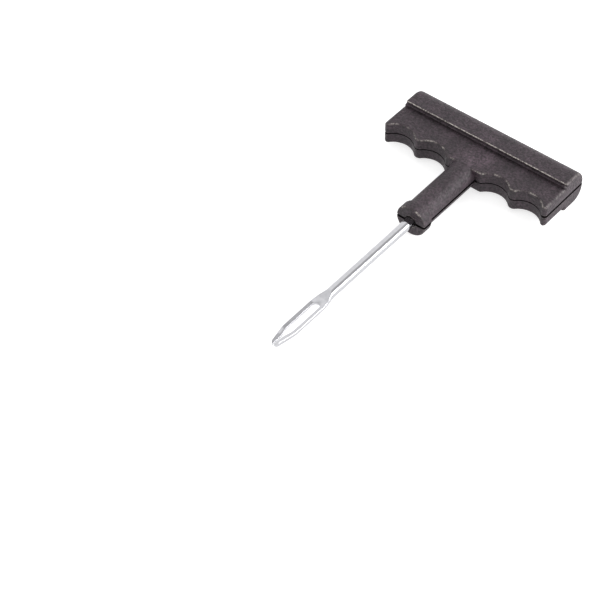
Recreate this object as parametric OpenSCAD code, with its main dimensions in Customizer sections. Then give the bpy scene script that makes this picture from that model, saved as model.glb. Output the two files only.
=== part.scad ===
// Tyre plug insertion tool: a T-handle of two moulded shells closed over a plated
// steel needle whose flattened end is a split eye for the plug strip.
//
// Frame: X runs along the handle, the shank leaves the collar along -Y, +Z is up,
// square to the parting plane. The origin is on the shank's axis at the collar's face.

/* [Handle] */
// Length of the handle, end face to end face
handle_len = 80; // [76:1:95]
// Distance from the collar's face to the palm edge
handle_depth = 61.1; // [60.6:0.1:66]
// Full thickness of the palm barrel
barrel_thick = 14.8; // [14:0.2:17]
// Depth of the palm barrel, from its ridge to the palm edge
barrel_depth = 12.4; // [12:0.1:13.4]
// Rounding radius of the palm edge
palm_r = 6.2; // [5.6:0.1:6.6]
// Width of the narrow ledge below the barrel's ridge
ledge_w = 0.9; // [0.6:0.1:1.5]
// Full thickness of the finger web
web_thick = 10.4; // [10:0.2:12]
// Distance from the collar's face to the front of the web
web_front = 34.5; // [33:0.1:35]
// Wall thickness of the shells
wall = 2; // [1.6:0.1:2.2]

/* [Finger scallops] */
// Radius of each finger scallop
scallop_r = 8.4; // [8:0.1:9.2]
// Spacing between scallop centres
scallop_pitch = 15.6; // [15:0.1:16]
// Depth of the scallops behind the front of the web
scallop_deep = 3.5; // [2.5:0.1:3.8]

/* [Neck and collar] */
// Diameter of the neck
neck_d = 11.9; // [11:0.1:13]
// Diameter of the collar
collar_d = 13.8; // [13.2:0.1:15]
// Length of the collar, its rear shoulder included
collar_len = 6; // [4.5:0.1:8]

/* [Needle] */
// Diameter of the shank
shank_d = 4.2; // [3.8:0.1:4.6]
// Distance from the collar's face to the tip
reach = 83.4; // [78:0.1:110]
// Length of the split eye, from its closed end to the tip
eye_len = 26.4; // [22:0.1:30]
// Outer width of the eye
eye_w = 6.4; // [6:0.1:7.6]
// Width of each tine
tine_w = 1.7; // [1.4:0.1:2]
// Thickness of the flattened head
head_thick = 1.9; // [1.6:0.1:2.4]
// Width of the slit between the two points
slit_w = 0.6; // [0.4:0.1:1]

/* [Fasteners] */
// Diameter of the cross pin through the buried end of the shank
pin_d = 2.5; // [2:0.1:2.6]
// Length of the cross pin
pin_len = 22; // [16:1:26]
// Core diameter of the self-tapping screws
screw_d = 2.6; // [2.2:0.1:2.8]
// Head diameter of the screws
screw_head_d = 5; // [4.6:0.1:5.2]

/* [Hidden] */
$fn = 96;
eps = 0.01;
margin = 5;             // how far the cutting bodies reach past the handle

// Handle
half_len = handle_len / 2;
barrel_half = barrel_thick / 2;
web_half = web_thick / 2;
ridge_y = handle_depth - barrel_depth;
palm_y = handle_depth - palm_r;
palm_z = barrel_half - palm_r;
ledge_half = (barrel_half + web_half) / 2;
scallop_y = web_front + scallop_deep - scallop_r;
scallop_xs = [scallop_pitch, 2 * scallop_pitch];

// Neck and collar
neck_r = neck_d / 2;
collar_r = collar_d / 2;
neck_fade = 6;          // length over which the neck's crown sinks into the web
collar_cone = 1.3;      // length of the collar's rear shoulder
collar_chamfer = 0.8;

// Open groove all round the parting plane; inside it the shells touch
groove_half = 0.35;
groove_deep = 0.8;

// Hollow cells of each shell, between the end wall, two ribs and the central block
block_half = 7.5;
rib = 1.5;
cell_len = (half_len - wall - block_half - 2 * rib) / 3;
cell_pitch = cell_len + rib;
cell_front = web_front + scallop_deep + wall + 0.4;

// Bosses: the outer pair of screws is in the barrel, the inner pair in the web
boss_r = 3.3;
inner_boss = [block_half + cell_len / 2, ridge_y - 4.2];
outer_boss = [block_half + 2 * cell_pitch + cell_len / 2, palm_y - 2.8];
peg_boss = [block_half + cell_pitch + cell_len / 2, ridge_y - 4];
peg_r = 1.4;
peg_len = 2;
peg_root = 1;           // how far a peg is rooted in its boss
peg_gap = 0.1;          // clearance round a peg in its socket
peg_end_gap = 0.4;      // clearance past its end

// Screws: the same length throughout, heads seated on one plane below the seam
screw_r = screw_d / 2;
screw_head_r = screw_head_d / 2;
seat_z = -3;
screw_len = 7;
screw_point = 1.4;
screw_point_r = 0.4;
screw_head_h = 1.8;
screw_gap = 0.3;        // radial clearance in the lower shell
recess_gap = 0.25;      // radial clearance round a screw head
pilot_over = 0.2;       // how much deeper than the screw its pilot hole is
drive_w = 0.7;
drive_len = 2.8;
drive_deep = 1;

// Shank and its seat
shank_r = shank_d / 2;
tail_y = palm_y + 0.8;  // buried end of the shank
pin_y = tail_y - 3.5;
pin_r = pin_d / 2;
bore_gap = 0.05;
end_gap = 0.3;          // clearance past the ends of the shank and the pin
mouth_r = shank_r + 0.3;
mouth_deep = 2.5;

// Flattened head
eye_y = eye_len - reach;            // closed end of the eye
eye_half = eye_w / 2;
head_half = head_thick / 2;
flare_y = eye_y + 7.5;              // the round shank starts to flare here
flare_slope = 0.25;                 // how fast the flare's round envelope widens
flare_knee = 5;                     // the sides steepen this far before the eye
forge_len = 2.5;                    // length over which the shank is forged down flat
root_in = 0.5;                      // how far the head's outline reaches into the shank
root_over = 0.2;                    // and how far it stands outside the shank there
lap = 0.1;                          // overlap of the shank and the head
shoulder_len = 2;                   // rounded shoulders, past the eye's closed end
shoulder_w = 0.3;
taper_y = 9.5 - reach;             // the head starts to taper here
taper_ease = 2;                     // length and width of the taper's gentle start
taper_ease_w = 0.3;
point_len = 1.2;                    // bevelled points at the tip
point_half = 1.45;
tip_half = 0.95;
tip_thin = 0.35;                    // how much each face falls away at the points

// Opening of the eye, the slit between the points and the tines' hinge line
slot_half = eye_half - tine_w;
slit_half = slit_w / 2;
slit_y = 3.5 - reach;
hinge_y = eye_y - 0.16 * eye_len;   // the tines bend as if pivoted here
hinge_gap = 0.1;

// Children on the +X side, with their mirror image on the -X side
module both_sides() {
  children();
  mirror([1, 0, 0])
    children();
}

// Everything on the +Z side of a height
module above(z) {
  translate([-half_len - margin, -margin, z])
    cube([handle_len + 2 * margin, handle_depth + 2 * margin, barrel_half + margin]);
}

// A round bar along Y, from y0 to y1
module y_bar(y0, y1, r1, r2) {
  translate([0, y0, 0])
    rotate([-90, 0, 0])
      cylinder(h = y1 - y0, r1 = r1, r2 = r2);
}

// Turns a profile drawn in Y and Z into a bar along X, from x0 to x1
module x_bar(x0, x1) {
  translate([x0, 0, 0])
    rotate([90, 0, 90])
      linear_extrude(height = x1 - x0)
        children();
}

// A rectangle in Y and Z, centred on the parting plane
module yz_rect(y0, y1, half) {
  translate([y0, -half])
    square([y1 - y0, 2 * half]);
}

// The palm barrel's end profile, inset by a wall
module barrel_profile(inset) {
  yz_rect(ridge_y + inset, palm_y, barrel_half - inset);
  yz_rect(palm_y - eps, handle_depth - inset, palm_z);
  for (z = [-palm_z, palm_z])
    translate([palm_y, z])
      circle(r = palm_r - inset);
}

// The finger web, with two scallops on each side of the neck
module web(inset) {
  difference() {
    x_bar(inset - half_len, half_len - inset)
      yz_rect(web_front + inset, ridge_y + margin, web_half);
    both_sides()
      for (x = scallop_xs)
        translate([x, scallop_y, -web_half - margin])
          cylinder(h = web_thick + 2 * margin, r = scallop_r + inset);
  }
}

// The neck, with its crown sinking into the web, and the collar
module neck(inset) {
  rim_y = inset + collar_chamfer;
  cone_y = collar_len - collar_cone;
  y_bar(inset, rim_y, collar_r - collar_chamfer - inset, collar_r - inset);
  y_bar(rim_y - eps, cone_y, collar_r - inset, collar_r - inset);
  y_bar(cone_y - eps, collar_len, collar_r - inset, neck_r - inset);
  y_bar(collar_len - eps, web_front + eps, neck_r - inset, neck_r - inset);
  y_bar(web_front, web_front + neck_fade, neck_r - inset, web_half - inset);
}

// The handle's outside, both shells together, inset from its end faces and edges
module handle_form(inset) {
  x_bar(inset - half_len, half_len - inset) {
    barrel_profile(inset);
    yz_rect(ridge_y - ledge_w + inset, ridge_y + margin, ledge_half - inset);
  }
  web(inset);
  neck(inset);
}

// Hollow space of one cell, starting at x0 on the +X side
module cell(x0) {
  x_bar(x0, x0 + cell_len) {
    barrel_profile(wall);
    yz_rect(cell_front, ridge_y + margin, web_half - wall);
  }
}

// An upright round post or hole at a plan position
module upright(at, r, z0, z1) {
  translate([at[0], at[1], z0])
    cylinder(h = z1 - z0, r = r);
}

// The cells of both sides, with their bosses left standing
module hollow() {
  both_sides()
    difference() {
      for (i = [0:2])
        cell(block_half + i * cell_pitch);
      for (at = [inner_boss, outer_boss, peg_boss])
        upright(at, boss_r, -barrel_half, barrel_half);
    }
}

// The seats for the shank and its cross pin
module needle_seat() {
  y_bar(-margin, mouth_deep, mouth_r, mouth_r);
  y_bar(0, tail_y + end_gap, shank_r + bore_gap, shank_r + bore_gap);
  translate([-pin_len / 2 - end_gap, pin_y, 0])
    rotate([0, 90, 0])
      cylinder(h = pin_len + 2 * end_gap, r = pin_r + bore_gap);
}

// One shell before its own holes: the half of the handle above the parting plane
module half_shell() {
  difference() {
    union() {
      intersection() {
        handle_form(0);
        above(groove_half);
      }
      intersection() {
        handle_form(groove_deep);
        above(0);
      }
    }
    hollow();
    needle_seat();
  }
}

module upper_shell() {
  color("#2b292b") {
    difference() {
      half_shell();
      both_sides()
        for (at = [inner_boss, outer_boss])
          upright(at, screw_r, -margin, seat_z + screw_len + pilot_over);
    }
    both_sides()
      upright(peg_boss, peg_r, -peg_len, peg_root);
  }
}

module lower_shell() {
  color("#2b292b")
    difference() {
      mirror([0, 0, 1])
        half_shell();
      both_sides() {
        for (at = [inner_boss, outer_boss]) {
          upright(at, screw_r + screw_gap, seat_z - eps, margin);
          upright(at, screw_head_r + recess_gap, -barrel_half - margin, seat_z);
        }
        upright(peg_boss, peg_r + peg_gap, -peg_len - peg_end_gap, margin);
      }
    }
}

// An outline given along one side and closed by its mirror image across the Y axis
module mirrored_outline(side) {
  last = len(side) - 1;
  polygon([
    for (p = side) p,
    for (i = [last:-1:0]) [-side[i][0], side[i][1]]
  ]);
}

// Plan outline of the head: round shank, flare, full width, taper and points
module head_plan() {
  mirrored_outline([
    [shank_r + root_over, flare_y + root_in],
    [shank_r + root_over, eye_y + flare_knee],
    [eye_half - shoulder_w, eye_y],
    [eye_half, eye_y - shoulder_len],
    [eye_half, taper_y],
    [eye_half - taper_ease_w, taper_y - taper_ease],
    [point_half, point_len - reach],
    [tip_half, -reach]
  ]);
}

// Plan outline of the eye and of the slit that opens it at the tip
module eye_plan() {
  translate([0, eye_y - slot_half])
    circle(r = slot_half);
  mirrored_outline([
    [slot_half, eye_y - slot_half],
    [slot_half, taper_y],
    [slit_half, slit_y],
    [slit_half, -reach - margin]
  ]);
}

// Side outline of the head: the round shank forged down to a flat blade
module head_side() {
  mirrored_outline([
    [shank_r + root_over, flare_y + root_in],
    [shank_r + root_over, flare_y - lap],
    [head_half, flare_y - forge_len],
    [head_half, point_len - reach],
    [head_half - tip_thin, -reach]
  ]);
}

// The whole flattened head with its eye
module head() {
  intersection() {
    translate([0, 0, -shank_d])
      linear_extrude(height = 2 * shank_d)
        difference() {
          head_plan();
          eye_plan();
        }
    translate([-eye_w, 0, 0])
      rotate([0, 90, 0])
        linear_extrude(height = 2 * eye_w)
          head_side();
  }
}

// The round envelope that the flare grows into, from the shank to the eye
module flare_envelope() {
  big_r = shank_r + flare_slope * (flare_y - eye_y);
  small_r = shank_r - flare_slope * root_in;
  y_bar(eye_y, flare_y + root_in, big_r, small_r);
}

// A slab across one side of the head, from y0 to y1
module head_slab(y0, y1) {
  translate([0, y0, -shank_r - margin])
    cube([eye_w, y1 - y0, shank_d + 2 * margin]);
}

module needle() {
  color("#d8d9dc")
    difference() {
      union() {
        y_bar(flare_y - lap, tail_y, shank_r, shank_r);
        intersection() {
          head();
          union() {
            flare_envelope();
            both_sides()
              head_slab(hinge_y, eye_y + lap);
          }
        }
      }
      translate([-shank_d, pin_y, 0])
        rotate([0, 90, 0])
          cylinder(h = 2 * shank_d, r = pin_r);
    }
}

module right_tine() {
  color("#d8d9dc")
    intersection() {
      head();
      head_slab(-reach - margin, hinge_y - hinge_gap);
    }
}

module left_tine() {
  mirror([1, 0, 0])
    right_tine();
}

module cross_pin() {
  color("#b9bbbe")
    translate([-pin_len / 2, pin_y, 0])
      rotate([0, 90, 0])
        cylinder(h = pin_len, r = pin_r);
}

// The cross-shaped recess in a screw's head, cut upwards from below
module drive_recess() {
  for (turn = [0, 90])
    rotate([0, 0, turn])
      translate([-drive_len / 2, -drive_w / 2, -margin])
        cube([drive_len, drive_w, drive_deep + margin]);
}

// One self-tapping screw on the +X side, driven upwards from the lower shell
module screw(at) {
  color("#8d8f92")
    difference() {
      union() {
        upright(at, screw_head_r, seat_z - screw_head_h, seat_z);
        upright(at, screw_r, seat_z - eps, seat_z + screw_len - screw_point);
        translate([at[0], at[1], seat_z + screw_len - screw_point])
          cylinder(h = screw_point, r1 = screw_r, r2 = screw_point_r);
      }
      translate([at[0], at[1], seat_z - screw_head_h])
        drive_recess();
    }
}

module screw_1() {
  mirror([1, 0, 0])
    screw(outer_boss);
}

module screw_2() {
  mirror([1, 0, 0])
    screw(inner_boss);
}

module screw_3() {
  screw(inner_boss);
}

module screw_4() {
  screw(outer_boss);
}

upper_shell();
lower_shell();
needle();
left_tine();
right_tine();
cross_pin();
screw_1();
screw_2();
screw_3();
screw_4();
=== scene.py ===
import math

import bmesh
import bpy
import numpy as np
from mathutils import Matrix, Vector


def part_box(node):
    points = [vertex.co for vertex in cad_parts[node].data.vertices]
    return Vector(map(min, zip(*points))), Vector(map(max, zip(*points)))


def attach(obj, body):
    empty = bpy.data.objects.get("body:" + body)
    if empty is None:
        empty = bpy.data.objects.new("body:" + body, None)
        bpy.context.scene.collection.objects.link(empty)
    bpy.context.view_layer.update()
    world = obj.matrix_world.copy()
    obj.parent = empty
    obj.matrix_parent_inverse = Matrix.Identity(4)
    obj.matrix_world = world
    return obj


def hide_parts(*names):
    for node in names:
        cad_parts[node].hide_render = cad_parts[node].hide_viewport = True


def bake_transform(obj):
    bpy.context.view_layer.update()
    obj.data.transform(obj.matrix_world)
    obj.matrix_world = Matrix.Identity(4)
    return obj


# Looks of the tyre plug insertion tool. Lengths are in millimetres unless a name says otherwise.

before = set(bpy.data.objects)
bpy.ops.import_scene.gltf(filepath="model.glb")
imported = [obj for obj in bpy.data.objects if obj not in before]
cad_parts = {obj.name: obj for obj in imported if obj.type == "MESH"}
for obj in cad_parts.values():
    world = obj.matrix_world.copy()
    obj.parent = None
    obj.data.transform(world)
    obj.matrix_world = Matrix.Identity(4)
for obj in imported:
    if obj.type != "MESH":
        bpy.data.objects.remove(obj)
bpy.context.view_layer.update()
MM = 0.001


def box_mm(node):
    """Lowest and highest corner of a CAD node, in millimetres."""
    low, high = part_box(node)
    return Vector(low) / MM, Vector(high) / MM


UPPER_HIGH = box_mm("upper_shell")[1]
NEEDLE_LOW, NEEDLE_HIGH = box_mm("needle")
TINE_LOW, TINE_HIGH = box_mm("right_tine")

# Handle, from its box and the mould's own dimensions
HALF_LEN = UPPER_HIGH.x
DEPTH = UPPER_HIGH.y
BARREL_HALF = UPPER_HIGH.z
PALM_R = 6.2
RIDGE_Y = DEPTH - 12.4
PALM_Y = DEPTH - PALM_R
PALM_Z = BARREL_HALF - PALM_R
WEB_HALF = 5.2
LEDGE_HALF = (BARREL_HALF + WEB_HALF) / 2
LEDGE_W = 0.9
WEB_FRONT = 34.5
SCALLOP_R = 8.4
SCALLOP_DEEP = 3.5
SCALLOP_Y = WEB_FRONT + SCALLOP_DEEP - SCALLOP_R
SCALLOP_XS = (15.6, 31.2)

# Roundings of the lobes between the scallops, from the neck outwards, and of the moulded edges
INNER_ROUND = 2.0
LOBE_ROUND = 2.5
OUTER_ROUND = 1.35
FRONT_ROUND = 0.9
END_ROUND = 1.4
RIDGE_ROUND = 0.45
FOOT_ROUND = 0.15
SHOULDER_ROUND = 1.6
SMALLEST_ROUND = 0.05

# Spacing of the handle's cross-sections
STATION = 0.35

# Edge wear and painted highlight: the tightness of an edge, in radians per millimetre, where they
# start, and the span to the full mark; and the centre of a paler patch on the web
WEAR_AND_HIGHLIGHT_FROM = 0.6
WEAR_AND_HIGHLIGHT_SPAN = 0.9
PALE_PATCH_PLACE = (1, 42, WEB_HALF)

# Neck and collar
NECK_R = 5.95
NECK_FADE = 6
NECK_SINK = 0.15
COLLAR_R = 6.9
COLLAR_LEN = 6.0
COLLAR_CONE = 1.3
RIM_ROUND = 0.8
WAIST_ROUND = 0.6

# Groove round the parting plane: half its height along the web and the palm, and where it gapes, round
# the neck and at the ends; its depth; how far the rim reaches above it; and how far the gaps reach
GROOVE_HALF = 0.27
GROOVE_WIDE = 0.62
GROOVE_DEEP = 0.8
GROOVE_LAP = 0.3
NECK_GAP = (COLLAR_R + 0.2, WEB_FRONT + 0.6)
END_GAP = (HALF_LEN - 2.5, HALF_LEN - 1)

# Needle
SHANK_R = NEEDLE_HIGH.z
TAIL_Y = NEEDLE_HIGH.y
BORE_R = SHANK_R + 0.05
MOUTH_R = SHANK_R + 0.3
MOUTH_DEEP = 2.5
MOUTH_EDGE = 0.2
EYE_Y = -57.0
EYE_HALF = TINE_HIGH.x
HEAD_HALF = TINE_HIGH.z
FLANK_HALF = 1.12 * HEAD_HALF
UNFORGED_HALF = SHANK_R + 0.05
TIP_Y = TINE_LOW.y
TIP_ROUND = 1.0
TIP_SHRINK = 0.6
TAIL_CHAMFER = 0.4
CUT_Y = (NEEDLE_LOW.y + TINE_HIGH.y) / 2
TINE_W = 1.7
SLOT_HALF = EYE_HALF - TINE_W
SLIT_HALF = 0.3
SLOT_Y = TIP_Y + 10
SLIT_FADE = 6
EYE_EDGE = 0.12
FLARE_LEN = 7.5
FORGE_LEN = 5.0
TAPER_LEN = 9.5
TAPER_POWER = 1.2
POINT_HALF = 1.3
DISH = 0.38
DISH_WIDTH = 1.45
OVERCUT = 0.03

# Screws
SCREWS = ("screw_1", "screw_2", "screw_3", "screw_4")
SCREW_HEAD = 1.8
SCREW_CORE_R = 1.15
THREAD_PITCH = 1.1
THREAD_DEEP = 0.35
SCREW_POINT = 1.4
SCREW_SIDES = 48
CROSS = (1.4, 0.35)
RECESS_GAP = 0.25

# How far a cutting block reaches past what it cuts, the radius that closes a turned profile, and the
# angle from which an edge is shaded as a crease
CLEAR = 10
AXIS_R = 0.01
CREASE = math.radians(32)

# Colours of the materials
PLASTIC_DARK = (0.021, 0.0135, 0.018)
PLASTIC_PALE = (0.036, 0.024, 0.031)
# Pale colour of edge wear and of painted highlights on the edges
WEAR_AND_HIGHLIGHT_COLOUR = (0.6, 0.55, 0.51)
# Painted shade inside the groove
GROOVE_SHADE_DARK = (0.004, 0.003, 0.003)
GROOVE_SHADE_PALE = (0.010, 0.008, 0.009)
PLATED_STEEL = (0.48, 0.48, 0.50)
DRAWN_STEEL = (0.62, 0.62, 0.63)
ZINC = (0.55, 0.55, 0.57)
FLOOR_DARK = (0.54, 0.54, 0.54)
FLOOR_PALE = (0.56, 0.56, 0.56)
FLOOR_GLOW = 0.72

# Camera: the photograph's direction, and where the collar's face stands in the picture
AZIMUTH, ELEVATION, ROLL = (math.radians(a) for a in (40.05, 46.72, -0.87))
LENS = 132
DISTANCE = 860.3
COLLAR_RIGHT = 43.06
COLLAR_UP = 30.66

# Surroundings: how bright they are, the direction of the dark opening overhead, and the key light's
FRONT_LEVEL = 0.72
BACK_LEVEL = 1.4
OPENING = (0.24, 0.52, 0.81)
OPENING_LEVEL = 0.52
KEY_DIRECTION = (0.77, 0.525, 0.37)


# ---------------------------------------------------------------- mesh tools


def make_object(name, points, faces):
    """A mesh object from points in millimetres."""
    mesh = bpy.data.meshes.new(name)
    mesh.from_pydata((np.asarray(points, float) * MM).tolist(), [], faces)
    piece = bpy.data.objects.new(name, mesh)
    bpy.context.scene.collection.objects.link(piece)
    bm = bmesh.new()
    bm.from_mesh(mesh)
    bmesh.ops.remove_doubles(bm, verts=bm.verts, dist=1e-7)
    bmesh.ops.recalc_face_normals(bm, faces=bm.faces)
    bm.to_mesh(mesh)
    bm.free()
    return piece


def loft(name, rings):
    """A closed solid through rings of the same number of points, capped at both ends."""
    count = len(rings[0])
    points = np.concatenate(rings)
    faces = []
    for i in range(len(rings) - 1):
        for j in range(count):
            k = (j + 1) % count
            a, b = i * count, (i + 1) * count
            faces.append((a + j, a + k, b + k, b + j))
    faces.append(tuple(range(count)))
    faces.append(tuple(reversed(range(len(points) - count, len(points)))))
    return make_object(name, points, faces)


def full_turn(segments):
    """Evenly spaced angles round a circle."""
    return np.linspace(0, 2 * math.pi, segments, endpoint=False)


def level_circle(centre_x, centre_y, z, radius, segments):
    """Points of a level circle; the radius may be a value for each point."""
    turns = full_turn(segments)
    x = centre_x + radius * np.cos(turns)
    y = centre_y + radius * np.sin(turns)
    return np.stack([x, y, np.full(segments, z)], axis=1)


def revolve(name, profile, segments=96):
    """A solid of revolution about the Y axis through (y, radius) points, from tip to tail."""
    turns = full_turn(segments)
    rings = [
        np.stack([r * np.cos(turns), np.full(segments, y), r * np.sin(turns)], axis=1)
        for y, r in profile
    ]
    return loft(name, rings)


def block(low, high):
    """A plain cutting block between two corners."""
    (x0, y0, z0), (x1, y1, z1) = low, high
    rings = [
        np.array([(x0, y0, z), (x1, y0, z), (x1, y1, z), (x0, y1, z)], float) for z in (z0, z1)
    ]
    return loft("block", rings)


def combine(piece, other, operation):
    """Joins, cuts or intersects a piece with another solid."""
    modifier = piece.modifiers.new("solid", "BOOLEAN")
    modifier.operation = operation
    modifier.object = other
    modifier.solver = "EXACT"
    bpy.context.view_layer.update()
    evaluated = piece.evaluated_get(bpy.context.evaluated_depsgraph_get())
    mesh = bpy.data.meshes.new_from_object(evaluated)
    piece.modifiers.clear()
    old = piece.data
    piece.data = mesh
    bpy.data.meshes.remove(old)
    bpy.data.objects.remove(other)
    return piece


def copy_of(piece, name):
    """An independent copy of a piece."""
    twin = piece.copy()
    twin.data = piece.data.copy()
    twin.name = name
    bpy.context.scene.collection.objects.link(twin)
    return twin


def mirror_z(piece):
    """The piece mirrored across the parting plane."""
    piece.data.transform(Matrix.Scale(-1, 4, (0, 0, 1)))
    piece.data.flip_normals()
    return piece


def in_groove(point, margin):
    """Whether a point, in metres, lies in the groove or within a margin above it."""
    return abs(point.z) / MM < groove_half(point.x / MM, point.y / MM) + margin


def sheltered(point):
    """Whether a point, in metres, lies too deep to be rubbed and gets no painted highlight: on the ledge or
    at the groove.
    """
    y, z = point.y / MM, abs(point.z) / MM
    on_ledge = RIDGE_Y - LEDGE_W - 0.3 < y < RIDGE_Y - 0.05 and z < LEDGE_HALF + 0.1
    return on_ledge or in_groove(point, 0.05)


def tightness(edge):
    """How tightly a surface turns at an edge, in radians per millimetre; negative in a hollow."""
    area = sum(face.calc_area() for face in edge.link_faces) / MM**2
    length = max(edge.calc_length() / MM, 0.001)
    step = min(max(area / (2 * length), 0.05), 0.5)
    return edge.calc_face_angle_signed(0.0) / step


def mark_edges(mesh):
    """Stores each point's edge wear and painted highlight, from 0 to 1: most on the middle of a tight,
    convex rounding.
    """
    bm = bmesh.new()
    bm.from_mesh(mesh)
    bm.normal_update()
    wear_and_highlight = np.zeros(len(bm.verts))
    for edge in bm.edges:
        if len(edge.link_faces) != 2 or sheltered(edge.verts[0].co):
            continue
        rubbed = (tightness(edge) - WEAR_AND_HIGHLIGHT_FROM) / WEAR_AND_HIGHLIGHT_SPAN
        for v in edge.verts:
            # Painted highlight and wear peak where the normal leans halfway between level and upright
            crest = 4 * v.normal.z**2 * (1 - v.normal.z**2)
            wear_and_highlight[v.index] = max(wear_and_highlight[v.index], crest**1.5 * rubbed)
    bm.free()
    attribute = mesh.attributes.new("wear_and_highlight", "FLOAT", "POINT")
    attribute.data.foreach_set("value", np.clip(wear_and_highlight, 0, 1).astype(np.float32))


def mark_groove(mesh, groove_shade):
    """Gives the faces inside the groove round the parting plane a near-black material: painted shade."""
    mesh.materials.append(groove_shade)
    for face in mesh.polygons:
        if in_groove(face.center, 0.01):
            face.material_index = 1


def finish_piece(piece, material, body=None):
    """Smooth shading with crisp creases, a material and its body."""
    mesh = piece.data
    mesh.materials.clear()
    mesh.materials.append(material)
    mesh.polygons.foreach_set("use_smooth", [True] * len(mesh.polygons))
    mesh.set_sharp_from_angle(angle=CREASE)
    weighted = piece.modifiers.new("normals", "WEIGHTED_NORMAL")
    weighted.keep_sharp = True
    if body:
        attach(piece, body)
    return piece


# ---------------------------------------------------------------- handle


def lobe_beside(scallop_x, lobe_x, radius):
    """A rounded lobe that runs smoothly into a scallop: its centre and its radius."""
    reach = SCALLOP_R + radius
    return lobe_x, SCALLOP_Y + math.sqrt(reach**2 - (lobe_x - scallop_x) ** 2), radius


def front_lobes():
    """The lobes between the scallops on one side, from the neck to the end face."""
    first, second = SCALLOP_XS
    reach = SCALLOP_R + INNER_ROUND
    inner_x = first - math.sqrt(reach**2 - (WEB_FRONT + INNER_ROUND - SCALLOP_Y) ** 2)
    return (
        lobe_beside(first, inner_x, INNER_ROUND),
        lobe_beside(first, (first + second) / 2, LOBE_ROUND),
        lobe_beside(second, HALF_LEN - OUTER_ROUND, OUTER_ROUND),
    )


LOBES = front_lobes()


def front_y(x, inset):
    """Y of the web's scalloped front at a station, moved into the web by an inset."""
    x = abs(x)
    nearest = int(x > LOBES[1][0])
    scallop_x = SCALLOP_XS[nearest]
    lobe_x, lobe_y, lobe_r = LOBES[nearest + int(x > scallop_x)]
    radius = SCALLOP_R + inset
    meeting = abs(lobe_x - scallop_x) * radius / (SCALLOP_R + lobe_r)
    if abs(x - scallop_x) < meeting:
        return SCALLOP_Y + math.sqrt(radius**2 - (x - scallop_x) ** 2)
    if x < LOBES[0][0]:
        return WEB_FRONT + inset
    return lobe_y - math.sqrt(max((lobe_r - inset) ** 2 - (x - lobe_x) ** 2, 0))


def round_corner(before, at, after, radius, count=5):
    """Points of the arc that rounds a corner of a path."""
    before, at, after = (np.array(p, float) for p in (before, at, after))
    u = (before - at) / np.linalg.norm(before - at)
    v = (after - at) / np.linalg.norm(after - at)
    half = math.acos(np.clip(u @ v, -1, 1)) / 2
    middle = (u + v) / np.linalg.norm(u + v)
    centre = at + middle * radius / math.sin(half)
    start = at + u * radius / math.tan(half) - centre
    end = at + v * radius / math.tan(half) - centre
    swing = math.pi - 2 * half
    steps = np.linspace(0, 1, count + 1)
    return [
        tuple(centre + (math.sin((1 - t) * swing) * start + math.sin(t * swing) * end) / math.sin(swing))
        for t in steps
    ]


def half_section(x, inset, plan_inset):
    """Upper half of the handle's cross-section at a station: (y, z) from the front to the palm."""
    web = WEB_HALF - inset
    ledge = LEDGE_HALF - inset
    top = BARREL_HALF - inset
    ledge_y = RIDGE_Y - LEDGE_W + inset
    ridge_y = RIDGE_Y + inset
    front_r = max(FRONT_ROUND - inset, SMALLEST_ROUND)
    ridge_r = max(RIDGE_ROUND - inset, SMALLEST_ROUND)
    points = [(front_y(x, plan_inset), share * (web - front_r)) for share in (0, 0.25, 0.5, 0.75)]
    for turn in np.linspace(0, math.pi / 2, 7):
        y = front_y(x, plan_inset + front_r * (1 - math.cos(turn)))
        points.append((y, web - front_r * (1 - math.sin(turn))))
    start = points[-1][0]
    for share in (0.05, 0.15, 0.35, 0.6, 0.85):
        points.append((start + share * (ledge_y - FOOT_ROUND - start), web))
    steps = [(ledge_y, web), (ledge_y, ledge), (ridge_y, ledge), (ridge_y, top)]
    path = [(start, web), *steps, (PALM_Y, top)]
    for i, radius in enumerate((FOOT_ROUND, FOOT_ROUND, FOOT_ROUND, ridge_r)):
        points += round_corner(path[i], path[i + 1], path[i + 2], radius)
    points += [(ridge_y + 1.5, top), (ridge_y + 3.5, top)]
    for turn in np.linspace(math.pi / 2, 0, 19):
        r = PALM_R - inset
        points.append((PALM_Y + r * math.cos(turn), PALM_Z + r * math.sin(turn)))
    points.append((DEPTH - inset, PALM_Z / 2))
    return points


def section_ring(x, inset, plan_inset):
    """The whole cross-section at a station, as points in space."""
    upper = half_section(x, inset, plan_inset)
    lower = [(y, -z) for y, z in reversed(upper) if z > 0]
    palm = [(DEPTH - inset, 0)]
    return np.array([(x, y, z) for y, z in upper + palm + lower], float)


def handle_body(inset):
    """The web and the barrel, inset from their end faces and edges."""
    half = HALF_LEN - inset
    straight = half - END_ROUND
    count = int(round(2 * straight / STATION))
    stations = [(x, inset) for x in np.linspace(-straight, straight, count)]
    for turn in np.linspace(0, math.pi / 2, 6)[1:]:
        x = straight + END_ROUND * math.sin(turn)
        e = inset + END_ROUND * (1 - math.cos(turn))
        stations = [(-x, e)] + stations + [(x, e)]
    return loft("handle_body", [section_ring(x, e, inset) for x, e in stations])


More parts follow.
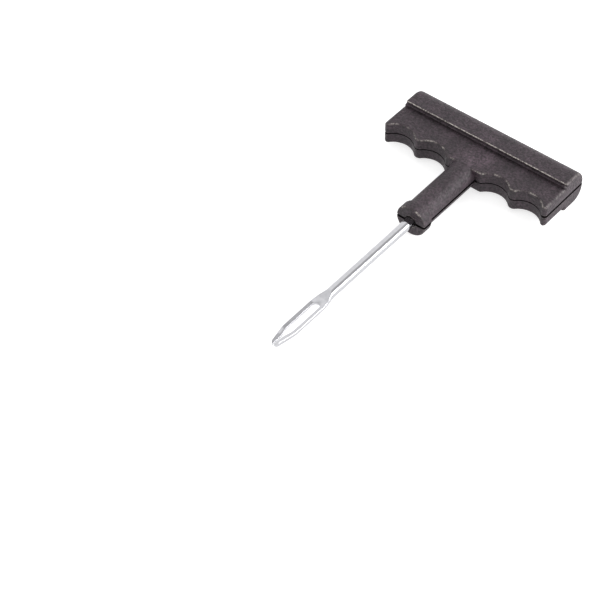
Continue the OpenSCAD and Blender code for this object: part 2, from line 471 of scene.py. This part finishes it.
def neck_solid(inset):
    """The neck and the collar, sunk into the web."""
    neck, collar = NECK_R - inset, COLLAR_R - inset
    rim = (inset, collar)
    shoulder = (COLLAR_LEN - COLLAR_CONE, collar)
    waist = (COLLAR_LEN, neck)
    front, end = (WEB_FRONT, neck), (WEB_FRONT + NECK_FADE, WEB_HALF - NECK_SINK - inset)
    profile = [(inset, AXIS_R), (inset, collar / 2)]
    profile += round_corner((inset, 0), rim, shoulder, RIM_ROUND)
    profile += [(COLLAR_LEN / 3, collar), (COLLAR_LEN / 2, collar)]
    profile += round_corner(rim, shoulder, waist, SHOULDER_ROUND, 4)
    profile += round_corner(shoulder, waist, front, WAIST_ROUND, 3)
    profile += [(y, neck) for y in np.linspace(COLLAR_LEN + 1, WEB_FRONT, 24)]
    for share in np.linspace(0, 1, 12)[1:]:
        profile.append((WEB_FRONT + share * NECK_FADE, neck + share * share * (end[1] - neck)))
    profile.append((end[0] + 1, AXIS_R))
    return revolve("neck", profile)


def bore_cutter():
    """The hole that the needle sits in, with its wider mouth."""
    flare = MOUTH_R + MOUTH_EDGE
    profile = [(-CLEAR, AXIS_R), (-CLEAR, flare), (0, flare), (MOUTH_EDGE, MOUTH_R)]
    profile += [(MOUTH_DEEP, MOUTH_R), (MOUTH_DEEP, BORE_R), (TAIL_Y, BORE_R), (TAIL_Y, AXIS_R)]
    return revolve("bore", profile, 64)


def handle_form(inset):
    """The handle's outside with the needle's bore."""
    form = combine(handle_body(inset), neck_solid(inset), "UNION")
    return combine(form, bore_cutter(), "DIFFERENCE")


def groove_half(x, y):
    """Half height of the groove at a place: open round the neck and at the end faces."""
    if abs(x) < NECK_GAP[0] and y < NECK_GAP[1]:
        return GROOVE_WIDE
    return np.interp(abs(x), END_GAP, (GROOVE_HALF, GROOVE_WIDE))


def above_groove():
    """The space above the groove, wider and taller than the handle."""
    front, back, top = -CLEAR, DEPTH + CLEAR, BARREL_HALF + CLEAR
    right = [*END_GAP, HALF_LEN + CLEAR]
    rings = []
    for x in [-x for x in reversed(right)] + right:
        low = groove_half(x, back)
        rings.append(np.array([(x, front, low), (x, back, low), (x, back, top), (x, front, top)], float))
    half, end = NECK_GAP
    neck_gap = block((-half, 2 * front, -top), (half, end, GROOVE_WIDE))
    return combine(loft("above_groove", rings), neck_gap, "DIFFERENCE")


def rim_space():
    """The space from the parting plane to a little above the groove."""
    reach = HALF_LEN + CLEAR
    return block((-reach, -CLEAR, 0), (reach, DEPTH + CLEAR, GROOVE_WIDE + GROOVE_LAP))


def make_shell(name, outside, inside):
    """One shell above the parting plane: the outside above the groove, joined to the inset rim."""
    shell = combine(copy_of(outside, name), above_groove(), "INTERSECT")
    rim = combine(copy_of(inside, "rim"), rim_space(), "INTERSECT")
    return combine(shell, rim, "UNION")


def screw_recess(node):
    """The counterbore that a screw's head sits in, open to the underside."""
    low, high = box_mm(node)
    centre = (low + high) / 2
    radius = (high.x - low.x) / 2 + RECESS_GAP
    heights = (low.z - CLEAR, low.z + SCREW_HEAD)
    return loft("recess", [level_circle(centre.x, centre.y, z, radius, 64) for z in heights])


# ---------------------------------------------------------------- needle


def ease(t):
    """A smooth step from 0 to 1."""
    t = min(max(t, 0), 1)
    return t * t * (3 - 2 * t)


def head_width(y):
    """Half width of the needle at a station."""
    flare = SHANK_R + (EYE_HALF - SHANK_R) * ease((EYE_Y + FLARE_LEN - y) / (FLARE_LEN + 1))
    into = (TIP_Y + TAPER_LEN - y) / TAPER_LEN
    if into <= 0:
        return flare
    return EYE_HALF - (EYE_HALF - POINT_HALF) * into**TAPER_POWER


def head_height(y):
    """Half height of the rounded flanks at a station, before the faces are forged flat."""
    return SHANK_R + (FLANK_HALF - SHANK_R) * ease((EYE_Y + FLARE_LEN - y) / FLARE_LEN)


def head_flat(y):
    """Half thickness between the forged faces at a station."""
    step = min(max((EYE_Y + FLARE_LEN - y) / FORGE_LEN, 0), 1)
    return UNFORGED_HALF + (HEAD_HALF - UNFORGED_HALF) * step


def needle_ring(y, width, height, flat, square, segments=96):
    """A cross-section from a circle (square 0) to a flat bar with rounded flanks (square 1)."""
    power = 2 / (2 + 4 * square)
    turns = full_turn(segments)
    c, s = np.cos(turns), np.sin(turns)
    x = width * np.sign(c) * np.abs(c) ** power
    z = height * np.sign(s) * np.abs(s) ** power
    return np.stack([x, np.full(segments, y), np.clip(z, -flat, flat)], axis=1)


def needle_solid():
    """The shank and the flattened head, before the eye is cut."""
    tail_r = SHANK_R - TAIL_CHAMFER
    rings = [needle_ring(TAIL_Y, tail_r, tail_r, SHANK_R, 0)]
    for y in np.linspace(TAIL_Y - TAIL_CHAMFER, EYE_Y + FLARE_LEN + 0.2, 40):
        rings.append(needle_ring(y, SHANK_R, SHANK_R, SHANK_R, 0))
    for y in np.linspace(EYE_Y + FLARE_LEN, TIP_Y + TIP_ROUND, 130):
        square = ease((EYE_Y + FLARE_LEN - y) / FLARE_LEN)
        rings.append(needle_ring(y, head_width(y), head_height(y), head_flat(y), square))
    for turn in np.linspace(0, math.pi / 2, 9)[1:]:
        y = TIP_Y + TIP_ROUND * (1 - math.sin(turn))
        shrink = 1 - TIP_SHRINK * (1 - math.cos(turn))
        sizes = [shrink * size for size in (head_width(y), head_height(y), HEAD_HALF)]
        rings.append(needle_ring(y, *sizes, 1))
    return loft("needle_solid", rings)


def eye_half_width(y):
    """Half width of the eye's opening and of the slit that leads to the tip."""
    into = ease((SLOT_Y - y) / SLIT_FADE)
    return SLOT_HALF + (SLIT_HALF - SLOT_HALF) * into


def eye_outline(grow):
    """Plan outline of the eye and the slit, grown on all sides."""
    right = [(SLIT_HALF + grow, TIP_Y - 2), (SLIT_HALF + grow, TIP_Y + 2)]
    for y in np.linspace(SLOT_Y - 5, SLOT_Y + 2, 22):
        right.append((eye_half_width(y) + grow, y))
    for y in np.linspace(SLOT_Y + 2.5, EYE_Y - SLOT_HALF - 0.3, 22):
        right.append((SLOT_HALF + grow, y))
    centre = EYE_Y - SLOT_HALF
    radius = SLOT_HALF + grow
    end = [(radius * math.cos(t), centre + radius * math.sin(t)) for t in np.linspace(0, math.pi, 25)]
    left = [(-x, y) for x, y in reversed(right)]
    return right + end + left


def eye_cutter():
    """The eye's opening: a straight wall, a rounded edge and faces dished slightly towards it."""
    wall = HEAD_HALF - DISH - EYE_EDGE
    upper = [(0, 0), (wall, 0)]
    for turn in np.linspace(20, 75, 4):
        a = math.radians(turn)
        upper.append((wall + EYE_EDGE * math.sin(a), EYE_EDGE * (1 - math.cos(a))))
    upper.append((HEAD_HALF + OVERCUT, EYE_EDGE + DISH_WIDTH))
    levels = [(-z, grow) for z, grow in reversed(upper)] + upper[1:]
    rings = [np.array([(x, y, z) for x, y in eye_outline(grow)], float) for z, grow in levels]
    return loft("eye", rings)


def make_needle(material):
    """The needle in one piece, parted where the tines start to bend."""
    whole = combine(needle_solid(), eye_cutter(), "DIFFERENCE")
    shank_part = block((-CLEAR, CUT_Y, -CLEAR), (CLEAR, TAIL_Y + CLEAR, CLEAR))
    needle = combine(copy_of(whole, "needle_forging"), shank_part, "INTERSECT")
    finish_piece(needle, material, "handle_and_shank")
    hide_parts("needle")
    for side, name in ((-1, "left_tine"), (1, "right_tine")):
        low = (min(0, side * CLEAR), TIP_Y - CLEAR, -CLEAR)
        high = (max(0, side * CLEAR), CUT_Y, CLEAR)
        tine = combine(copy_of(whole, name + "_prong"), block(low, high), "INTERSECT")
        finish_piece(tine, material)
        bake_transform(tine)
        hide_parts(name)
    bpy.data.objects.remove(whole)


# ---------------------------------------------------------------- screws


def pan_head(bottom, seat, radius):
    """Outline of a pan head, as (z, radius) points from its crown to the shank."""
    crown = [(0, AXIS_R), (0, 1.4), (0.12, 1.9), (0.4, 2.25), (0.85, radius - 0.04), (1.3, radius)]
    under = [(seat - 0.1, radius), (seat, radius - 0.1), (seat, 1.6), (seat + 0.1, SCREW_CORE_R)]
    return [(bottom + z, r) for z, r in crown] + under


def thread_radius(z, tip):
    """Radii round a self-tapping thread at a height; it tapers to the point."""
    taper = min(1, (tip - z) / SCREW_POINT)
    phase = (z / THREAD_PITCH - full_turn(SCREW_SIDES) / (2 * math.pi)) % 1
    thread = THREAD_DEEP * np.clip(1 - np.abs(phase - 0.5) * 5, 0, 1)
    return (SCREW_CORE_R + thread) * (0.25 + 0.75 * taper)


def make_screw(node, material):
    """A pan head self-tapping screw with a cross recess, its head down."""
    low, high = box_mm(node)
    centre = (low + high) / 2
    seat = low.z + SCREW_HEAD
    outline = pan_head(low.z, seat, (high.x - low.x) / 2)
    for z in np.arange(seat + 0.2, high.z - 0.05, THREAD_PITCH / 10):
        outline.append((z, thread_radius(z, high.z)))
    outline.append((high.z, 0.2))
    rings = [level_circle(0, 0, z, radius, SCREW_SIDES) for z, radius in outline]
    screw = loft(node + "_pan_head", rings)
    for x, y in (CROSS, CROSS[::-1]):
        combine(screw, block((-x, -y, low.z - 1), (x, y, low.z + 1)), "DIFFERENCE")
    screw.data.transform(Matrix.Translation(Vector((centre.x, centre.y, 0)) * MM))
    finish_piece(screw, material, "handle_and_shank")
    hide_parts(node)


# ---------------------------------------------------------------- materials


def new_material(name):
    """A node material with its Principled shader and texture coordinates in millimetres."""
    material = bpy.data.materials.new(name)
    material.use_nodes = True
    tree = material.node_tree
    shader = tree.nodes["Principled BSDF"]
    coordinates = tree.nodes.new("ShaderNodeTexCoord")
    to_mm = tree.nodes.new("ShaderNodeVectorMath")
    to_mm.operation = "SCALE"
    to_mm.inputs["Scale"].default_value = 1 / MM
    tree.links.new(coordinates.outputs["Object"], to_mm.inputs[0])
    return material, tree, shader, to_mm.outputs[0]


def noise(tree, where, scale, detail=3, roughness=0.5):
    """A noise value whose features are about 1 / scale millimetres across."""
    node = tree.nodes.new("ShaderNodeTexNoise")
    node.inputs["Scale"].default_value = scale
    node.inputs["Detail"].default_value = detail
    node.inputs["Roughness"].default_value = roughness
    tree.links.new(where, node.inputs["Vector"])
    return node.outputs["Fac"]


def ramp(tree, value, stops):
    """A colour ramp through (position, colour) stops."""
    node = tree.nodes.new("ShaderNodeValToRGB")
    elements = node.color_ramp.elements
    while len(elements) < len(stops):
        elements.new(0.5)
    for element, (position, colour) in zip(elements, stops):
        element.position = position
        element.color = (*colour, 1)
    tree.links.new(value, node.inputs["Fac"])
    return node.outputs["Color"]


def map_range(tree, value, given, wanted):
    """Maps a value from one range, as (low, high), to another."""
    node = tree.nodes.new("ShaderNodeMapRange")
    for name, number in zip(("From Min", "From Max", "To Min", "To Max"), (*given, *wanted)):
        node.inputs[name].default_value = number
    tree.links.new(value, node.inputs["Value"])
    return node.outputs["Result"]


def mix(tree, share, a, b):
    """Mixes two colours by a value."""
    node = tree.nodes.new("ShaderNodeMix")
    node.data_type = "RGBA"
    tree.links.new(share, node.inputs["Factor"])
    for socket, value in ((node.inputs["A"], a), (node.inputs["B"], b)):
        if isinstance(value, tuple):
            socket.default_value = (*value, 1)
        else:
            tree.links.new(value, socket)
    return node.outputs["Result"]


def tint(tree, colour, level):
    """A colour made darker or lighter."""
    node = tree.nodes.new("ShaderNodeVectorMath")
    node.operation = "SCALE"
    node.inputs["Scale"].default_value = level
    tree.links.new(colour, node.inputs[0])
    return node.outputs["Vector"]


def calculate(tree, operation, a, b):
    """The result of an operation on two values."""
    node = tree.nodes.new("ShaderNodeMath")
    node.operation = operation
    tree.links.new(a, node.inputs[0])
    tree.links.new(b, node.inputs[1])
    return node.outputs[0]


def bump(tree, height, strength, distance, normal=None):
    """A bump of a real height in millimetres."""
    node = tree.nodes.new("ShaderNodeBump")
    node.inputs["Strength"].default_value = strength
    node.inputs["Distance"].default_value = distance * MM
    tree.links.new(height, node.inputs["Height"])
    if normal:
        tree.links.new(normal, node.inputs["Normal"])
    return node.outputs["Normal"]


def pale_patch(tree, where):
    """How much paler the web is, from 0 to 1, in a cloudy round patch."""
    distance = tree.nodes.new("ShaderNodeVectorMath")
    distance.operation = "DISTANCE"
    distance.inputs[1].default_value = PALE_PATCH_PLACE
    tree.links.new(where, distance.inputs[0])
    near = map_range(tree, distance.outputs["Value"], (2, 13), (1, 0))
    clouds = map_range(tree, noise(tree, where, scale=0.25, detail=4, roughness=0.6), (0.4, 0.6), (0.35, 1))
    return calculate(tree, "MULTIPLY", near, clouds)


def edge_wear_and_highlight(tree, where):
    """Edge wear and painted highlight, from 0 to 1: in fine dashes, and only in stretches but on the ridge.
    """
    wear_and_highlight = tree.nodes.new("ShaderNodeAttribute")
    wear_and_highlight.attribute_name = "wear_and_highlight"
    dashes = map_range(tree, noise(tree, where, scale=1.5), (0.44, 0.56), (0.2, 1))
    stretches = map_range(tree, noise(tree, where, scale=0.22, detail=1), (0.45, 0.56), (0.12, 0.9))
    place = tree.nodes.new("ShaderNodeSeparateXYZ")
    tree.links.new(where, place.inputs[0])
    # Along the ridge's edge the wear and painted highlight run unbroken
    at_ridge = map_range(tree, place.outputs["Y"], (RIDGE_Y - 1, RIDGE_Y - 0.5), (0, 1))
    stretches = calculate(tree, "MAXIMUM", stretches, at_ridge)
    rubbed = calculate(tree, "MULTIPLY", dashes, stretches)
    return calculate(tree, "MULTIPLY", wear_and_highlight.outputs["Fac"], rubbed)


def plastic_material():
    """Charcoal moulded plastic: mottled, finely pebbled, paler in a patch on the web, and paler on its
    edges where they are rubbed and where a highlight is painted.
    """
    material, tree, shader, where = new_material("charcoal_plastic")
    blotches = noise(tree, where, scale=0.12, detail=3, roughness=0.6)
    colour = ramp(tree, blotches, [(0.36, PLASTIC_DARK), (0.66, PLASTIC_PALE)])
    speckles = noise(tree, where, scale=1.0, detail=3, roughness=0.75)
    speckles = ramp(tree, speckles, [(0.38, (0, 0, 0)), (0.62, (1, 1, 1))])
    colour = mix(tree, speckles, tint(tree, colour, 0.42), tint(tree, colour, 1.6))
    # Paler in a cloudy round patch on the web near the neck
    colour = mix(tree, pale_patch(tree, where), colour, tint(tree, colour, 1.9))
    # Pale dashes of edge wear and painted highlight along the roundings
    colour = mix(tree, edge_wear_and_highlight(tree, where), colour, WEAR_AND_HIGHLIGHT_COLOUR)
    tree.links.new(colour, shader.inputs["Base Color"])
    sheen = map_range(tree, noise(tree, where, scale=1.2), (0.3, 0.7), (0.42, 0.66))
    tree.links.new(sheen, shader.inputs["Roughness"])
    shader.inputs["Specular IOR Level"].default_value = 0.35
    pebbles = noise(tree, where, scale=0.9, detail=3, roughness=0.65)
    normal = bump(tree, pebbles, strength=1, distance=0.4)
    normal = bump(tree, noise(tree, where, scale=0.4, detail=4), 0.6, 0.3, normal)
    tree.links.new(normal, shader.inputs["Normal"])
    return material


def groove_shade_material():
    """Painted shade inside the groove: near-black plastic, rough and with little gloss."""
    material, tree, shader, where = new_material("groove_painted_shade")
    colour = ramp(tree, noise(tree, where, scale=0.8), [(0.3, GROOVE_SHADE_DARK), (0.7, GROOVE_SHADE_PALE)])
    tree.links.new(colour, shader.inputs["Base Color"])
    shader.inputs["Roughness"].default_value = 0.9
    shader.inputs["Specular IOR Level"].default_value = 0.1
    return material


def steel_material(name, colour, roughness, flow):
    """Plated or drawn steel with faint clouds in its colour and fine lengthwise marks in its gloss."""
    material, tree, shader, where = new_material(name)
    shader.inputs["Metallic"].default_value = 1
    stretch = tree.nodes.new("ShaderNodeMapping")
    stretch.inputs["Scale"].default_value = (flow, 0.15, flow)
    tree.links.new(where, stretch.inputs["Vector"])
    marks = noise(tree, stretch.outputs["Vector"], scale=1.5, detail=4)
    clouds = noise(tree, where, scale=0.5)
    darker = tuple(c * 0.9 for c in colour)
    tree.links.new(ramp(tree, clouds, [(0.3, darker), (0.7, colour)]), shader.inputs["Base Color"])
    tree.links.new(map_range(tree, marks, (0.3, 0.7), roughness), shader.inputs["Roughness"])
    tree.links.new(bump(tree, marks, strength=0.15, distance=0.01), shader.inputs["Normal"])
    return material


def floor_material():
    """Plain pale matt floor."""
    material, tree, shader, where = new_material("pale_floor")
    colour = ramp(tree, noise(tree, where, scale=0.01), [(0.3, FLOOR_DARK), (0.7, FLOOR_PALE)])
    tree.links.new(colour, shader.inputs["Base Color"])
    shader.inputs["Roughness"].default_value = 0.9
    shader.inputs["Emission Color"].default_value = (1, 1, 1, 1)
    shader.inputs["Emission Strength"].default_value = FLOOR_GLOW
    return material


# ---------------------------------------------------------------- the tool

plastic = plastic_material()
# Near-black painted shade for the groove's faces
groove_shade = groove_shade_material()
plated = steel_material("bright_plated_steel", PLATED_STEEL, roughness=(0.03, 0.08), flow=2.0)
drawn = steel_material("drawn_steel", DRAWN_STEEL, roughness=(0.25, 0.4), flow=2.0)
screw_finish = steel_material("zinc_plated_screw", ZINC, roughness=(0.2, 0.35), flow=0.5)

outside = handle_form(0)
inside = handle_form(GROOVE_DEEP)
upper = make_shell("upper_cover", outside, inside)
lower = mirror_z(make_shell("lower_cover", outside, inside))
for node in SCREWS:
    combine(lower, screw_recess(node), "DIFFERENCE")
for form in (outside, inside):
    bpy.data.objects.remove(form)
for cover, node in ((upper, "upper_shell"), (lower, "lower_shell")):
    finish_piece(cover, plastic, "handle_and_shank")
    mark_edges(cover.data)
    # The groove's faces get painted shade
    mark_groove(cover.data, groove_shade)
    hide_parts(node)

make_needle(plated)
for node in SCREWS:
    make_screw(node, screw_finish)
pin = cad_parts["cross_pin"]
pin.data.materials.clear()
pin.data.materials.append(drawn)


# ---------------------------------------------------------------- floor, camera and light


def view_axes():
    """The camera's right, up and backward directions."""
    right = Vector((math.cos(AZIMUTH), math.sin(AZIMUTH), 0))
    level = Vector((math.sin(AZIMUTH), -math.cos(AZIMUTH), 0))
    back = math.cos(ELEVATION) * level + math.sin(ELEVATION) * Vector((0, 0, 1))
    up = back.cross(right)
    roll_right = math.cos(ROLL) * right + math.sin(ROLL) * up
    roll_up = math.cos(ROLL) * up - math.sin(ROLL) * right
    return roll_right, roll_up, back


def make_camera():
    """The camera at the photograph's viewing angle and distance."""
    right, up, back = view_axes()
    data = bpy.data.cameras.new("camera")
    data.lens = LENS
    data.sensor_width = 36
    data.clip_start, data.clip_end = 0.05, 20
    camera = bpy.data.objects.new("camera", data)
    bpy.context.scene.collection.objects.link(camera)
    place = (DISTANCE * back - COLLAR_RIGHT * right - COLLAR_UP * up) * MM
    turned = Matrix((right, up, back)).transposed().to_4x4()
    camera.matrix_world = Matrix.Translation(place) @ turned
    bpy.context.scene.camera = camera


def floor_plane():
    """A point of the floor and its normal: the tool rests on its collar and its barrel."""
    collar = Vector((0, RIM_ROUND, -COLLAR_R))
    barrel = Vector((0, PALM_Y, -BARREL_HALF))
    along = (barrel - collar).normalized()
    return collar * MM, Vector((1, 0, 0)).cross(along)


def make_floor():
    """A wide pale floor under the tool."""
    point, normal = floor_plane()
    half, steps = 2500, 9
    ticks = np.linspace(-half, half, steps)
    points = [(x, y, 0) for y in ticks for x in ticks]
    faces = [
        (r * steps + c, r * steps + c + 1, (r + 1) * steps + c + 1, (r + 1) * steps + c)
        for r in range(steps - 1)
        for c in range(steps - 1)
    ]
    floor = make_object("floor", points, faces)
    floor.data.materials.append(floor_material())
    floor.matrix_world = Matrix.Translation(point) @ normal.to_track_quat("Z", "Y").to_matrix().to_4x4()


def softbox(name, direction, distance, size, watts):
    """A soft area light that faces the tool from a direction."""
    light = bpy.data.lights.new(name, "AREA")
    light.shape = "RECTANGLE"
    light.size, light.size_y = size
    light.energy = watts
    lamp = bpy.data.objects.new(name, light)
    bpy.context.scene.collection.objects.link(lamp)
    towards = Vector(direction).normalized()
    lamp.location = towards * distance
    lamp.rotation_mode = "QUATERNION"
    lamp.rotation_quaternion = towards.to_track_quat("Z", "Y")


def make_world():
    """Pale surroundings: brightest behind the tool, dim towards the viewer, an opening overhead."""
    world = bpy.data.worlds.new("surroundings")
    world.use_nodes = True
    tree = world.node_tree
    direction = tree.nodes.new("ShaderNodeTexCoord").outputs["Generated"]
    level = []
    edge = [math.cos(math.radians(angle)) for angle in (22, 8)]
    for axis, given, wanted in (
        ((0, 1, 0), (-0.4, 0.3), (FRONT_LEVEL, BACK_LEVEL)),
        (OPENING, edge, (1, OPENING_LEVEL)),
    ):
        along = tree.nodes.new("ShaderNodeVectorMath")
        along.operation = "DOT_PRODUCT"
        along.inputs[1].default_value = Vector(axis).normalized()
        tree.links.new(direction, along.inputs[0])
        level.append(map_range(tree, along.outputs["Value"], given, wanted))
    tree.links.new(calculate(tree, "MULTIPLY", *level), tree.nodes["Background"].inputs["Strength"])
    tree.nodes["Background"].inputs["Color"].default_value = (1, 1, 1, 1)
    bpy.context.scene.world = world


make_camera()
make_floor()
make_world()
softbox("key", KEY_DIRECTION, distance=1.3, size=(1.3, 0.4), watts=20)
bpy.context.scene.view_settings.view_transform = "Standard"
